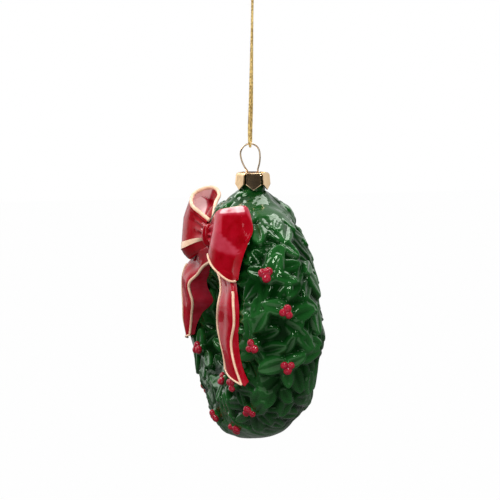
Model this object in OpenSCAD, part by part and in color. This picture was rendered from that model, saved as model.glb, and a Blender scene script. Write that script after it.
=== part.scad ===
// Hanging wreath ornament: a blown glass ring of leaves with a bow, berries, a crown cap and a cord.
// The front faces -Y, +X is to the right seen from the front, +Z is up, and lengths are in millimetres.
// The origin is the hang point, under the knot of the cord.

/* [Wreath] */
// Radius of the circle that the middle of the glass tube follows
ring_r = 28; // [26:0.5:31]
// Radius of the glass tube in the valleys between the leaves
tube_r = 14.2; // [13:0.1:15.5]
// Height of a leaf's tip above the valleys
leaf_rise = 1.2; // [0.6:0.1:1.6]
// Leaves in one turn round the ring
leaves_round = 24; // [18:1:28]
// Leaves in one turn round the tube
leaves_across = 15; // [11:1:18]
// Thickness of the blown glass
glass_wall = 1.2; // [0.8:0.1:1.8]

/* [Neck] */
// Outer radius of the neck
neck_r = 4.4; // [4:0.1:5]
// Thickness of the neck's glass
neck_wall = 1; // [0.7:0.1:1.3]
// Height of the neck above the valleys
neck_rise = 9.2; // [8:0.1:12]
// Height of the leafy shoulder round the neck, above the valleys
shoulder_rise = 3.9; // [2.5:0.1:4]
// Distance of the shoulder's widest place inside the leaves' tips
shoulder_inset = 0.2; // [0.1:0.1:2]

/* [Cap] */
// Thickness of the cap's sheet metal
cap_sheet = 0.4; // [0.3:0.05:0.6]
// Gap between the neck and the cap's sides
cap_gap = 0.2; // [0.15:0.05:0.5]
// Gap between the neck's rim and the cap's top
cap_seat = 0.05; // [0.05:0.05:0.2]
// Length of a tab's straight sides
tab_straight = 3.9; // [3:0.1:5]
// Length of a tab's point
tab_point = 1.9; // [1:0.1:2.5]
// Width of the slit between two tabs
tab_slit = 0.4; // [0.2:0.1:0.8]
// Angle by which the tabs stand out
tab_flare = 6; // [2:1:12]
// Angle by which the cap is turned on the neck
cap_turn = 15; // [0:1:59]

/* [Wire hanger] */
// Diameter of the wire
wire_d = 0.7; // [0.6:0.05:0.9]
// Width of the wire loop, outside
loop_w = 7.9; // [7:0.1:10]
// Radius of the loop's drawn-in sides
loop_side_r = 11; // [8:0.5:14]
// Radius of the bend from the loop into a leg
loop_foot_r = 1.5; // [1:0.1:2]
// Distance between the legs' middles
leg_gap = 3.9; // [3.2:0.1:4.4]
// Height of the loop's foot above the cap
leg_rise = 0.8; // [0.8:0.1:1.5]
// Length of a leg below the loop's foot
leg_len = 11; // [9:0.5:12]
// Radius of the bend at a leg's end
foot_r = 1.2; // [0.8:0.1:1.5]
// Angle of the bend at a leg's end
foot_turn = 50; // [30:5:60]
// Gap round the wire in the cap's holes
wire_hole_gap = 0.15; // [0.1:0.05:0.3]

/* [Bow] */
// Thickness of a loop's ribbon
ribbon_wall = 1.5; // [1.2:0.1:2]
// Height by which a loop's edge is rounded
ribbon_round = 0.4; // [0.2:0.1:0.6]
// How far a tail's face swells between its edges
tail_swell = 1.2; // [0.6:0.1:1.8]
// Gap between the bow and the leaves' tips
bow_gap = 0.1; // [0.05:0.05:0.3]
// Radius of the bow's knot at its middle
bow_knot_r = 3; // [2.6:0.1:3.2]
// Radius of the bow's knot at its ends
bow_knot_end_r = 2.1; // [1.6:0.1:2.5]
// Height of the bow's knot
bow_knot_h = 8; // [6:0.5:9]
// Height of the bow's knot above the middle of the tube
bow_knot_up = 3; // [1:0.5:5]
// How far the bow's right side lies back, for each millimetre from its middle
bow_back = 0.04; // [0:0.01:0.08]
// How far the bow's right side hangs down, for each millimetre from its middle
bow_sag = 0.05; // [0:0.01:0.08]
// Length of the left tail as a share of the right one's
left_tail_share = 0.93; // [0.85:0.01:1]
// How much narrower the left tail is towards its end
left_tail_taper = 4.8; // [0:0.2:5]
// Gap between the bow's knot and the loops
bow_knot_gap = 0.1; // [0.05:0.05:0.3]

/* [Berries] */
// Diameter of one berry
berry_d = 2.4; // [2:0.1:2.8]
// Distance of a berry's middle from the middle of its cluster
berry_spread = 1.15; // [1:0.05:1.5]
// Height of a berry's middle above the cluster's flat back
berry_up = 0.2; // [0:0.05:0.6]
// Gap between a cluster's back and the leaves
berry_gap = 0.05; // [0.05:0.05:0.2]
// Radius of the smooth place under a cluster
berry_seat_r = 4; // [3.5:0.5:5]

/* [Cord] */
// Diameter of the cord
cord_d = 0.8; // [0.6:0.1:0.9]
// Gap between the cord and the wire that hangs in it
cord_gap = 0.1; // [0.05:0.05:0.3]
// Radius of the cord's knot
cord_knot_r = 1.35; // [1.2:0.05:1.8]
// Height of the cord's knot
cord_knot_h = 2.6; // [2.2:0.1:3.5]
// Length of the cord's ends above the knot
cord_end_len = 5; // [3:0.5:10]
// Angle at which the cord's ends lean out
cord_end_lean = 16; // [10:1:25]

/* [Hidden] */
$fn = 48;

// The cord's middle line, from the knot down to the wire and up again
cord_route = [
    [0.5, -0.2, 1],
    [0.5, -0.2, 0.4],
    [1, -0.4, -0.8],
    [1.5, -0.5, -2.8],
    [1.2, -0.5, -5],
    [0.7, -0.4, -8],
    [0.5, -0.4, -12],
    [0.5, -0.5, -20],
    [0.5, -0.6, -28],
    [0.5, -0.7, -36],
    [0.5, -0.8, -44],
    [0.7, -0.9, -50],
    [1.2, -1, -54],
    [1.7, -1, -58.3],
    [1.2, -1, -59.5],
    [0, -1, -60],
    [-1.2, -1, -59.5],
    [-1.7, -1, -58.3],
    [-1.2, -1, -54],
    [-0.7, -0.8, -50],
    [-0.5, -0.6, -44],
    [-0.5, -0.4, -36],
    [-0.5, -0.3, -28],
    [-0.5, -0.1, -20],
    [-0.5, 0, -12],
    [-0.7, 0.1, -8],
    [-1.2, 0.2, -5],
    [-1.5, 0.3, -2.8],
    [-1, 0.3, -0.8],
    [-0.5, 0.2, 0.4],
    [-0.5, 0.2, 1]
];
cord_sides = 8;
cord_step = 2.2;
cord_low = cord_route[(len(cord_route) - 1) / 2];
cord_top = cord_route[0];
cord_knot_edge = cord_knot_h / 4;

// The wire's loop hangs in the cord, and its lean brings the top over the cord's lowest point
wire_r = wire_d / 2;
loop_r = loop_w / 2 - wire_r;
wire_top_z = cord_low.z + cord_d / 2 + cord_gap + wire_r;
loop_turn = acos(1 - (loop_r - leg_gap / 2) / (loop_side_r + loop_foot_r));
loop_h = (loop_side_r + loop_foot_r) * sin(loop_turn);
loop_lean = asin(-cord_low.y / loop_h);
loop_foot_z = wire_top_z - loop_r - loop_h * cos(loop_lean);
leg_y = (leg_gap / 2 + loop_foot_r) * cos(loop_lean) - loop_foot_r;
wire_sides = 12;
top_steps = 16;
side_steps = 6;
bend_steps = 5;

// Heights from the hang point down to the ring's middle
cap_top_z = loop_foot_z - leg_rise;
neck_top_z = cap_top_z - cap_sheet - cap_seat;
ring_z = neck_top_z - neck_rise - tube_r - ring_r;

// The cap is a six-sided crown round the neck
tab_count = 6;
cap_flat = neck_r + cap_gap + cap_sheet;
cap_side = 2 * cap_flat * tan(180 / tab_count);
cap_corner_r = cap_flat / cos(180 / tab_count);

// Radius of the tube over the leaves' tips
tip_r = tube_r + leaf_rise;
shoulder_r = tip_r - shoulder_inset;
// The shoulder's outline from the neck down, as shares of the way out to its widest and of the way down to its foot
shoulder_line = [[0, 0], [0.13, 0.09], [0.43, 0.3], [0.82, 0.53], [0.98, 0.77], [1, 1]];
shoulder_top = ring_r + tube_r + shoulder_rise;
shoulder_foot = ring_r + 0.4 * tube_r;

// A leaf has four points along its rib: where they lie along it, and their share of the rise
leaf_at = [0, 0.3, 0.62, 0.9];
leaf_lift = [0, 0.45, 0.85, 1];
leaf_points = len(leaf_at);
leaf_columns = 2 * leaves_across;
// Sideways wander of a leaf's points, as a share of half a leaf's width
leaf_wander = 0.15;
// Distance from the neck's middle at which the leaves begin, and over which they rise to their full height
leaf_start = 8.4;
leaf_fade = 4;
// Sides of the hollow in the glass, round the ring and round the tube
hollow_rows = 32;
hollow_columns = 16;

// Where the berry clusters lie: the angle round the ring from +X, and round the tube from its rim to the front
berry_places = [
    [29, 28], [11, 8], [354, 54], [346, 5], [293, 113], [321, 82], [314, 42], [272, 65], [288, 43],
    [215, 104], [150, 34], [169, 8], [190, 55], [203, 14], [229, 40], [224, 15], [247, 12],
    [30, 240], [70, 245], [125, 300], [160, 270], [200, 305], [240, 265], [285, 240], [330, 235]
];
berry_count = 3;
berry_spin = 37;

// Edges of a loop of the bow, drawn on the right, from the middle of the tube's front at the top of the ring:
// along the front of the ribbon to the loop's end, and back along the ring; the two loops are open differently
left_loop_top_edge = [
    [2, -0.6, 6.8], [7, -2.2, 8.8], [12.5, -3.8, 11.3], [17, -1.6, 14.6], [18.5, 3.2, 16.8],
    [16, 7.2, 17.2], [11.5, 7.5, 15.2], [7, 4.6, 13], [2, 2, 9]
];
right_loop_top_edge = [
    [2, -0.6, 7.4], [7, -1.5, 11], [12.5, -2, 13.2], [17, 0.3, 14.2], [18.5, 4.6, 15.1],
    [16, 7.5, 15], [11.5, 7.5, 13.5], [7, 4.6, 11.8], [2, 2, 8.6]
];
loop_middle = [
    [2, -1.8, 3.6], [9, -2.9, 5], [15, -4.3, 6], [21, -3.5, 5.8], [26, 1.5, 5],
    [25.5, 6.8, 6.2], [17, 4.8, 8], [10, 1.4, 6], [2, -0.2, 4]
];
loop_low_edge = [
    [2, -2, 0.5], [8, -3.4, 0], [13, -5.6, -2.8], [18, -5.2, -6.4], [24, -1.8, -9.8],
    [28.5, 1, -9], [20.5, -0.8, -9.8], [11, -1, -6], [2, -0.6, -3]
];
loop_steps = 4;
// The bow's edges are drawn for this ring, and grow with the ring
bow_ring_r = 28;
bow_share = ring_r / bow_ring_r;
loop_outer_levels = [0, 0.12, 0.3, 0.5, 0.7, 0.88, 1];
loop_inner_levels = [1, 0.86, 0.72, 0.58];
// The largest share of a loop's depth that one side of its ribbon takes
ribbon_share = 0.36;
// How far along a loop its hollow reaches, of half the way round
hollow_reach = 0.7;

// Edges of the right tail of the bow, from the knot to its slanted end: the inner edge, the ridge and the outer foot
tail_inner_edge = [
    [2.6, 0.6, -8], [9, 0, -11], [13.5, -1, -15], [17, -3.2, -19.5],
    [14.5, -2.6, -26.5], [16.5, -2.3, -32], [19, -1.9, -37], [20.5, -1.9, -41.5]
];
tail_ridge = [
    [2.6, -1.6, -2.6], [14, -2, -6.5], [24, -0.8, -10.5], [28.5, -1.8, -17],
    [29.5, -1.9, -23.5], [27.5, -2.2, -30.5], [29.5, -1.9, -37], [32.5, -0.4, -44]
];
tail_outer_foot = [
    [2.6, -0.3, -2], [15, -0.6, -5.5], [27, 0, -9.5], [31.5, 0, -16.5],
    [33, -0.2, -23.5], [33.5, -0.2, -31], [33, 0, -38], [34, 1, -44.5]
];
tail_steps = 3;
// Where along its points the left tail starts and stops growing narrower, and how far back its edge goes then
taper_from = 3;
taper_to = 5;
taper_back = 0.32;
// How far back the tails reach before the ring is cut out of them
tail_depth = 9;

function berry_name(i) = str("berry_cluster_", i < 9 ? "0" : "", i + 1);
function clamp01(t) = min(1, max(0, t));
function ease(t) = let (c = clamp01(t)) c * c * (3 - 2 * c);
function blend(a, b, t) = a + (b - a) * t;
function unit(v) = v / norm(v);
function middle(points) = sum(points) / len(points);
function sum(list, i = 0) = i == len(list) - 1 ? list[i] : list[i] + sum(list, i + 1);

// A smooth line through a list of points: place 0 is the first point, place 1 the next
function pick(points, i) = points[min(len(points) - 1, max(0, i))];
function spline(points, place) =
    let (
        i = min(len(points) - 2, floor(place)),
        t = place - i,
        a = pick(points, i - 1),
        b = pick(points, i),
        c = pick(points, i + 1),
        d = pick(points, i + 2)
    )
    b + t / 2 * (c - a + t * (2 * a - 5 * b + 4 * c - d + t * (3 * (b - c) + d - a)));
function smooth_line(points, steps) =
    [for (k = [0 : (len(points) - 1) * steps]) spline(points, k / steps)];

// A point of the ring: angle round the ring from +X, angle round the tube from its rim to the front, tube radius
function on_tube(round, across, r) =
    let (reach = ring_r + r * cos(across))
    [reach * cos(round), -r * sin(across), reach * sin(round)];
function near_turn(angle) = angle - 360 * floor((angle + 180) / 360);

// A closed solid through rings of points, with a middle point at each end
module loft(rings) {
    n = len(rings[0]);
    last = (len(rings) - 1) * n;
    first_middle = len(rings) * n;
    points = concat([for (ring = rings) each ring], [middle(rings[0]), middle(rings[len(rings) - 1])]);
    sides = [
        for (i = [0 : len(rings) - 2], k = [0 : n - 1])
            let (a = i * n + k, b = i * n + (k + 1) % n)
            each [[a, a + n, b + n], [a, b + n, b]]
    ];
    ends = [
        for (k = [0 : n - 1])
            each [[first_middle, k, (k + 1) % n], [first_middle + 1, last + (k + 1) % n, last + k]]
    ];
    polyhedron(points, concat(sides, ends));
}

// Rings round a line, for a loft: beside is a direction that the line never takes
function tube_rings(line, r, sides, beside) =
    [
        for (i = [0 : len(line) - 1])
            let (
                along = unit(pick(line, i + 1) - pick(line, i - 1)),
                side = unit(cross(along, beside)),
                other = cross(along, side)
            )
            [
                for (k = [0 : sides - 1])
                    let (angle = 360 * k / sides)
                    line[i] + r * (side * cos(angle) + other * sin(angle))
            ]
    ];

module at_ring() {
    translate([0, 0, ring_z]) children();
}

module at_bow() {
    translate([0, -tip_r, ring_z + ring_r]) children();
}

module tube_ring(r) {
    rotate([90, 0, 0]) rotate_extrude() translate([ring_r, 0]) circle(r);
}

// The glass wreath
function leaf_share(round, across, point) =
    let (
        rim = (ring_r + tube_r) * PI / 180,
        neck_far = norm([near_turn(round - 90) * rim, near_turn(across) * tube_r * PI / 180]),
        fade = ease((neck_far - leaf_start) / leaf_fade),
        here = on_tube(round, across, tip_r),
        seats = [for (place = berry_places) if (norm(here - on_tube(place.x, place.y, tip_r)) < berry_seat_r) 1]
    )
    len(seats) > 0 ? 1 : leaf_lift[point] * fade;

function leaf_vertex(k, j) =
    let (
        shift = j % 2,
        point = (k + shift * leaf_points / 2) % leaf_points,
        leaf = floor((k + shift * leaf_points / 2) / leaf_points) + leaf_at[point] - shift / 2,
        round = 360 * leaf / leaves_round,
        across = 360 * (j + leaf_wander * sin(137 * k + 71 * j)) / leaf_columns
    )
    on_tube(round, across, tube_r + leaf_rise * leaf_share(round, across, point));

function hollow_vertex(k, j) =
    on_tube(360 * k / hollow_rows, 360 * j / hollow_columns, tube_r - glass_wall);

// A closed skin round the ring, from rows of points that go round the tube
module ring_mesh(points, rows, columns) {
    faces = [
        for (k = [0 : rows - 1], j = [0 : columns - 1])
            let (
                a = k * columns + j,
                b = k * columns + (j + 1) % columns,
                c = (k + 1) % rows * columns + (j + 1) % columns,
                d = (k + 1) % rows * columns + j
            )
            each [[a, b, c], [a, c, d]]
    ];
    polyhedron(points, faces);
}

module leafy_ring() {
    rows = leaf_points * leaves_round;
    points = [for (k = [0 : rows - 1], j = [0 : leaf_columns - 1]) leaf_vertex(k, j)];
    ring_mesh(points, rows, leaf_columns);
}

module hollow() {
    points = [for (k = [0 : hollow_rows - 1], j = [0 : hollow_columns - 1]) hollow_vertex(k, j)];
    ring_mesh(points, hollow_rows, hollow_columns);
}

module neck() {
    translate([0, 0, ring_r]) cylinder(r = neck_r, h = tube_r + neck_rise);
}

// The leafy shoulder that rises to the neck, grown by a gap all round
module shoulder(gap) {
    outline = [
        for (share = shoulder_line)
            [blend(neck_r, shoulder_r, share.x) + gap, blend(shoulder_top, shoulder_foot, share.y) + gap]
    ];
    rotate_extrude() polygon(concat([[0, ring_r], [0, shoulder_top + gap]], outline, [[0.7 * shoulder_r, ring_r]]));
}

module wreath_body() {
    color("darkgreen") at_ring() difference() {
        union() {
            leafy_ring();
            shoulder(0);
            neck();
        }
        hollow();
        translate([0, 0, ring_r]) cylinder(r = neck_r - neck_wall, h = tube_r + neck_rise + 1);
    }
}

// The bow
module bow_knot() {
    profile = [
        [0, -bow_knot_h / 2], [bow_knot_end_r, -bow_knot_h / 2], [bow_knot_r, -bow_knot_h / 6],
        [bow_knot_r, bow_knot_h / 6], [bow_knot_end_r, bow_knot_h / 2], [0, bow_knot_h / 2]
    ];
    color("firebrick") at_bow() intersection() {
        translate([0, -bow_gap, bow_knot_up]) rotate_extrude() polygon(profile);
        translate([-bow_knot_r, -2 * bow_knot_r - bow_gap, bow_knot_up - bow_knot_h])
            cube([2 * bow_knot_r, 2 * bow_knot_r, 2 * bow_knot_h]);
    }
}

// A point of the bow's right (1) or mirrored left (-1) side, with the bow's turn and slant
function slanted(p, side) =
    let (x = p.x * bow_share, z = p.z * bow_share)
    [x, p.y + side * bow_back * x, z - side * bow_sag * x];

// A point of a loop: level 0 is the low edge, 0.5 the middle and 1 the top edge
function loop_point(place, level, side) =
    let (
        low = spline(loop_low_edge, place),
        mid = spline(loop_middle, place),
        top = spline(side > 0 ? right_loop_top_edge : left_loop_top_edge, place)
    )
    slanted(
        low * (1 - level) * (1 - 2 * level) + mid * 4 * level * (1 - level) + top * level * (2 * level - 1),
        side
    );

function loop_inside(place, level, side) =
    let (
        end = len(loop_middle) - 1,
        along = min(place, end - place, hollow_reach * end / 2),
        here = loop_point(place, level, side),
        front = loop_point(along, level, side),
        back = loop_point(end - along, level, side)
    )
    here + unit((front + back) / 2 - here) * min(ribbon_wall, ribbon_share * norm(front - back));

function loop_ring(level, side) =
    [for (k = [0 : (len(loop_middle) - 1) * loop_steps]) loop_point(k / loop_steps, level, side)];

function hollow_ring(level, side) =
    [for (k = [0 : (len(loop_middle) - 1) * loop_steps]) loop_inside(k / loop_steps, level, side)];

function loop_rim(side) =
    let (outer = loop_ring(1, side), inner = hollow_ring(1, side))
    [for (k = [0 : len(outer) - 1]) (outer[k] + inner[k]) / 2 + [0, 0, ribbon_round]];

function loop_skin(side) = [for (level = loop_outer_levels) loop_ring(level, side)];

module bow_loop(side) {
    color("firebrick") difference() {
        at_bow() loft(concat(
            loop_skin(side),
            [loop_rim(side)],
            [for (level = loop_inner_levels) hollow_ring(level, side)]
        ));
        at_ring() tube_ring(tip_r + bow_gap);
        at_ring() shoulder(bow_gap);
        at_bow() translate([-bow_knot_r, -tip_r, -tip_r])
            cube([2 * bow_knot_r + bow_knot_gap, 2 * tip_r, 2 * tip_r + ring_r]);
    }
}

module bow_loop_left() {
    mirror([1, 0, 0]) bow_loop(-1);
}

module bow_loop_right() {
    bow_loop(1);
}

function tail_point(edge, place, side) =
    let (p = spline(edge, place), share = side < 0 ? left_tail_share : 1)
    slanted([p.x * share, p.y, p.z * share], side);

// How far the inner edge of a tail is moved in: only the left tail grows narrower
function tail_taper(place, side) =
    let (share = max(0, min(1, (place - taper_from) / (taper_to - taper_from))))
    side > 0 ? [0, 0, 0] : left_tail_taper * share * [1, taper_back, 0];

function tail_ring(place, side) =
    let (
        inner = tail_point(tail_inner_edge, place, side) + tail_taper(place, side),
        ridge = tail_point(tail_ridge, place, side),
        foot = tail_point(tail_outer_foot, place, side),
        back = [0, tail_depth, 0],
        swell = [0, -tail_swell, 0]
    )
    [
        foot + back, foot, ridge, blend(ridge, inner, 1 / 3) + swell, blend(ridge, inner, 2 / 3) + swell,
        inner, inner + back
    ];

module bow_tail(side) {
    color("firebrick") difference() {
        at_bow() loft([for (k = [0 : (len(tail_ridge) - 1) * tail_steps]) tail_ring(k / tail_steps, side)]);
        at_ring() tube_ring(tip_r + bow_gap);
        at_bow() loft(loop_skin(side));
    }
}

module bow_tail_left() {
    mirror([1, 0, 0]) bow_tail(-1);
}

module bow_tail_right() {
    bow_tail(1);
}

// The metal crown on the neck
module cap_tab() {
    half = (cap_side - tab_slit) / 2;
    rotate([90 - tab_flare, 0, 0]) translate([0, 0, -cap_sheet]) linear_extrude(cap_sheet)
        polygon([[-half, 0], [half, 0], [half, -tab_straight], [0, -tab_straight - tab_point], [-half, -tab_straight]]);
}

module crown_cap() {
    color("burlywood") translate([0, 0, cap_top_z]) difference() {
        rotate([0, 0, cap_turn]) union() {
            translate([0, 0, -cap_sheet]) rotate([0, 0, 90 + 180 / tab_count])
                cylinder(r = cap_corner_r, h = cap_sheet, $fn = tab_count);
            for (i = [0 : tab_count - 1])
                rotate([0, 0, 360 / tab_count * i]) translate([0, -cap_flat, 0]) cap_tab();
        }
        for (side = [-1, 1])
            translate([0, side * leg_y, -2 * cap_sheet]) cylinder(r = wire_r + wire_hole_gap, h = 3 * cap_sheet);
    }
}

// The wire loop with its two spring legs
// A place in the leaning loop: across and up from the middle of its round top
function loop_place(across, up) =
    [
        0,
        across * cos(loop_lean) - (up + loop_h) * sin(loop_lean),
        across * sin(loop_lean) + (up + loop_h) * cos(loop_lean) + loop_foot_z
    ];

// Half of the wire, from the widest place of the loop down to the end of one leg
function wire_half(side) = concat(
    [
        for (i = [1 : side_steps])
            let (angle = -loop_turn * i / side_steps)
            loop_place(side * (loop_r - loop_side_r + loop_side_r * cos(angle)), loop_side_r * sin(angle))
    ],
    [
        for (i = [1 : bend_steps])
            let (angle = 180 - loop_turn + (loop_turn - side * loop_lean) * i / bend_steps)
            loop_place(
                side * (leg_gap / 2 + loop_foot_r + loop_foot_r * cos(angle)),
                loop_foot_r * sin(angle) - loop_h
            )
    ],
    [
        for (i = [0 : bend_steps])
            let (angle = 180 + foot_turn * i / bend_steps)
            [0, side * (leg_y + foot_r + foot_r * cos(angle)), loop_foot_z - leg_len + foot_r * sin(angle)]
    ]
);

function wire_line() =
    let (first = wire_half(1), last = wire_half(-1))
    concat(
        [for (i = [len(first) - 1 : -1 : 0]) first[i]],
        [
            for (i = [0 : top_steps])
                let (angle = 180 * i / top_steps)
                loop_place(loop_r * cos(angle), loop_r * sin(angle))
        ],
        last
    );

module wire_hanger() {
    color("goldenrod") loft(tube_rings(wire_line(), wire_r, wire_sides, [1, 0, 0]));
}

// The cord, one loop from its knot round the wire and back
function cord_line() =
    let (
        places = [
            for (i = [0 : len(cord_route) - 2])
                let (n = max(2, round(norm(cord_route[i + 1] - cord_route[i]) / cord_step)))
                each [for (k = [0 : n - 1]) i + k / n]
        ]
    )
    concat([for (place = places) spline(cord_route, place)], [cord_route[len(cord_route) - 1]]);

module hanging_cord() {
    color("darkkhaki") loft(tube_rings(cord_line(), cord_d / 2, cord_sides, [0, 1, 0]));
}

module cord_knot() {
    color("darkkhaki") translate([0, 0, cord_top.z]) {
        rotate_extrude() {
            square([cord_knot_r - cord_knot_edge, cord_knot_h]);
            for (z = [cord_knot_edge, cord_knot_h - cord_knot_edge])
                translate([cord_knot_r - cord_knot_edge, z]) circle(cord_knot_edge);
        }
        for (side = [-1, 1])
            translate([side * cord_top.x, 0, cord_knot_h / 2]) rotate([0, side * cord_end_lean, 0])
                cylinder(d = cord_d, h = cord_knot_h / 2 + cord_end_len);
    }
}

// Three berries on a smooth place among the leaves
module berry_cluster(i) {
    place = berry_places[i];
    color("crimson") at_ring() translate(on_tube(place.x, place.y, tip_r + berry_gap))
        rotate([place.y, 90 - place.x, 0]) rotate([0, 0, berry_spin * i]) difference() {
            for (k = [0 : berry_count - 1])
                rotate([0, 0, 360 / berry_count * k]) translate([berry_spread, 0, berry_up]) sphere(d = berry_d);
            translate([-2 * berry_d, -2 * berry_d, -berry_d]) cube([4 * berry_d, 4 * berry_d, berry_d]);
        }
}

wreath_body();
bow_knot();
bow_loop_left();
bow_loop_right();
bow_tail_left();
bow_tail_right();
crown_cap();
wire_hanger();
hanging_cord();
cord_knot();
for (i = [0 : len(berry_places) - 1])
    berry_cluster(i);
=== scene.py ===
from math import acos, atan2, cos, pi, radians, sin, tan
from random import Random

import bmesh
import bpy
import numpy as np
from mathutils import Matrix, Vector
from mathutils.geometry import delaunay_2d_cdt


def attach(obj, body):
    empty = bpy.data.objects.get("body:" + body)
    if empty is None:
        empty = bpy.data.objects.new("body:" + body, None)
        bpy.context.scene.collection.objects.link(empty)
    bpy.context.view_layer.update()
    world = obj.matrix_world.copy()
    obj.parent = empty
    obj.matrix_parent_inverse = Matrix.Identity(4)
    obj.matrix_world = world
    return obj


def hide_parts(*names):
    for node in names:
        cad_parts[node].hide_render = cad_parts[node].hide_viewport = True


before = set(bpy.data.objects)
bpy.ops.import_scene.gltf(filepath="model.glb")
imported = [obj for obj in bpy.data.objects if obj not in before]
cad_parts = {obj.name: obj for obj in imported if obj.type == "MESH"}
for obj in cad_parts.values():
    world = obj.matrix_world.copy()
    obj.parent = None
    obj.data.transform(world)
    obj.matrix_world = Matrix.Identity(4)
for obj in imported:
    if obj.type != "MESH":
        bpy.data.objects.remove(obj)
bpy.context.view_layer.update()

# Lengths are in millimetres up to the meshes, which are in metres, and the frame is the part's.
MM = 0.001

# Sizes of the part's source that several pieces share
RING_R = 28.0
TUBE_R = 14.2
TIP_R = 15.4
RING_Z = -121.526
RING_MIDDLE = np.array((0, 0, RING_Z))
BOW_MIDDLE = np.array((0, -TIP_R, RING_Z + RING_R))
NECK_R = 4.4
NECK_TOP_Z = -70.126
CAP_TOP_Z = -69.676

SPLINE_STEPS = 40
# A direction that no line starts along
FIRST_ACROSS = (0.3, 1, 0.2)
# How far a bar's ends bulge, as a share of its radius
END_BULGE = 0.4
# Points of a piece that are closer than this, in metres, become one
SEW_DISTANCE = 0.00003


def unit(vectors):
    return vectors / np.maximum(np.linalg.norm(vectors, axis=-1, keepdims=True), 1e-9)


def ease(share):
    share = np.clip(share, 0, 1)
    return share * share * (3 - 2 * share)


def above(values, start, width):
    """A share that grows from 0 at the start to 1 after a width, which is negative if it grows downwards."""
    return ease((values - start) / width)


def full_turn(count):
    return np.linspace(0, 2 * pi, count, endpoint=False)


def spline(points, places):
    """Points of a smooth curve through the given ones, at places counted in given points."""
    points = np.asarray(points, float)
    places = np.asarray(places, float)
    last = len(points) - 1
    first = np.clip(np.floor(places).astype(int), 0, last - 1)
    t = (places - first)[:, None]
    a, b, c, d = (points[np.clip(first + step, 0, last)] for step in (-1, 0, 1, 2))
    return b + t / 2 * (c - a + t * (2 * a - 5 * b + 4 * c - d + t * (3 * (b - c) + d - a)))


def distances(line):
    """How far each point is from the start, along the line."""
    return np.concatenate(([0], np.cumsum(np.linalg.norm(np.diff(line, axis=0), axis=1))))


def evened(line, step):
    """The same line with points at even distances."""
    far = distances(line)
    places = np.linspace(0, far[-1], max(3, round(far[-1] / step) + 1))
    return np.stack([np.interp(places, far, line[:, axis]) for axis in range(3)], axis=1)


def smooth_line(points, step):
    """A smooth curve through the points, with new points at even distances."""
    places = np.linspace(0, len(points) - 1, SPLINE_STEPS * len(points))
    return evened(spline(points, places), step)


def frames_along(line):
    """Directions along a line and two across it that don't twist."""
    along = unit(np.gradient(line, axis=0))
    side = np.empty_like(line)
    side[0] = unit(np.cross(along[0], FIRST_ACROSS))
    for i in range(1, len(line)):
        side[i] = unit(side[i - 1] - along[i] * np.dot(along[i], side[i - 1]))
    return along, side, np.cross(along, side)


def grid_faces(rows, columns, close_rows=False, close_columns=False):
    row = np.arange(rows if close_rows else rows - 1)[:, None]
    column = np.arange(columns if close_columns else columns - 1)[None, :]
    next_row = (row + 1) % rows
    next_column = (column + 1) % columns
    corners = (
        row * columns + column,
        next_row * columns + column,
        next_row * columns + next_column,
        row * columns + next_column,
    )
    return np.stack([corner.ravel() for corner in corners], axis=1).tolist()


def turned(faces):
    """The same faces, looking the other way."""
    return [face[::-1] for face in faces]


def sheet(points):
    """An open sheet over rows of points."""
    rows, columns = points.shape[:2]
    return points.reshape(-1, 3), grid_faces(rows, columns)


def end_fans(count, sides):
    """Faces that close both ends of a round bar, with two middle points that come after its own."""
    faces = []
    for k in range(sides):
        beside = (k + 1) % sides
        faces.append([count, k, beside])
        faces.append([count + 1, count - sides + beside, count - sides + k])
    return faces


def tube(line, radii, sides):
    """A round bar along a line, closed at both ends."""
    radii = np.broadcast_to(radii, len(line))
    along, side, other = frames_along(line)
    angles = full_turn(sides)
    ring = side[:, None] * np.cos(angles)[:, None] + other[:, None] * np.sin(angles)[:, None]
    points = line[:, None] + ring * radii[:, None, None]
    faces = grid_faces(len(line), sides, close_columns=True) + end_fans(len(line) * sides, sides)
    first_end = line[0] - along[0] * radii[0] * END_BULGE
    last_end = line[-1] + along[-1] * radii[-1] * END_BULGE
    ends = np.stack((first_end, last_end))
    return np.concatenate((points.reshape(-1, 3), ends)), turned(faces)


def joined(*meshes):
    points, faces = meshes[0]
    for more_points, more_faces in meshes[1:]:
        start = len(points)
        faces = faces + [[start + corner for corner in face] for face in more_faces]
        points = np.concatenate((points, more_points))
    return points, faces


def add_piece(name, mesh, material, body, nodes=()):
    points, faces = mesh
    data = bpy.data.meshes.new(name)
    data.from_pydata((np.asarray(points) * MM).tolist(), [], faces)
    data.materials.append(material)
    data.shade_smooth()
    piece = bpy.data.objects.new(name, data)
    bpy.context.scene.collection.objects.link(piece)
    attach(piece, body)
    if nodes:
        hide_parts(*nodes)
    return piece


def add_rise(piece, shares):
    """Gives each point of a piece a share from 0 to 1 for its material."""
    rise = piece.data.attributes.new("rise", "FLOAT", "POINT")
    rise.data.foreach_set("value", np.asarray(shares, np.float32))


def sewn(piece):
    """Joins the sheets of a piece at their shared edges and turns its faces outwards."""
    shell = bmesh.new()
    shell.from_mesh(piece.data)
    bmesh.ops.remove_doubles(shell, verts=shell.verts, dist=SEW_DISTANCE)
    bmesh.ops.recalc_face_normals(shell, faces=shell.faces)
    shell.to_mesh(piece.data)
    shell.free()


# Materials

# How much uneven colour is added to a point's rise
UNEVEN_SHARE = 0.45
# Rises between which the shine grows from the pits to the leaves; the pits' weak shine is painted shade
PIT_RISE = 0.02
SHINY_RISE = 0.4
# Noise values between which one look changes to another
NOISE_LOW = 0.3
NOISE_HIGH = 0.7
# Scales of patches and grain, compared with that of the colour
GLASS_PATCHES = 2.3
METAL_PATCHES = 1.7
METAL_GRAIN = 4
GRAIN_WAVES = (0.0001, 0.2)
WAVE_DETAIL = 2.0


def set_input(node, name, value):
    node.inputs[name].default_value = value


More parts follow.
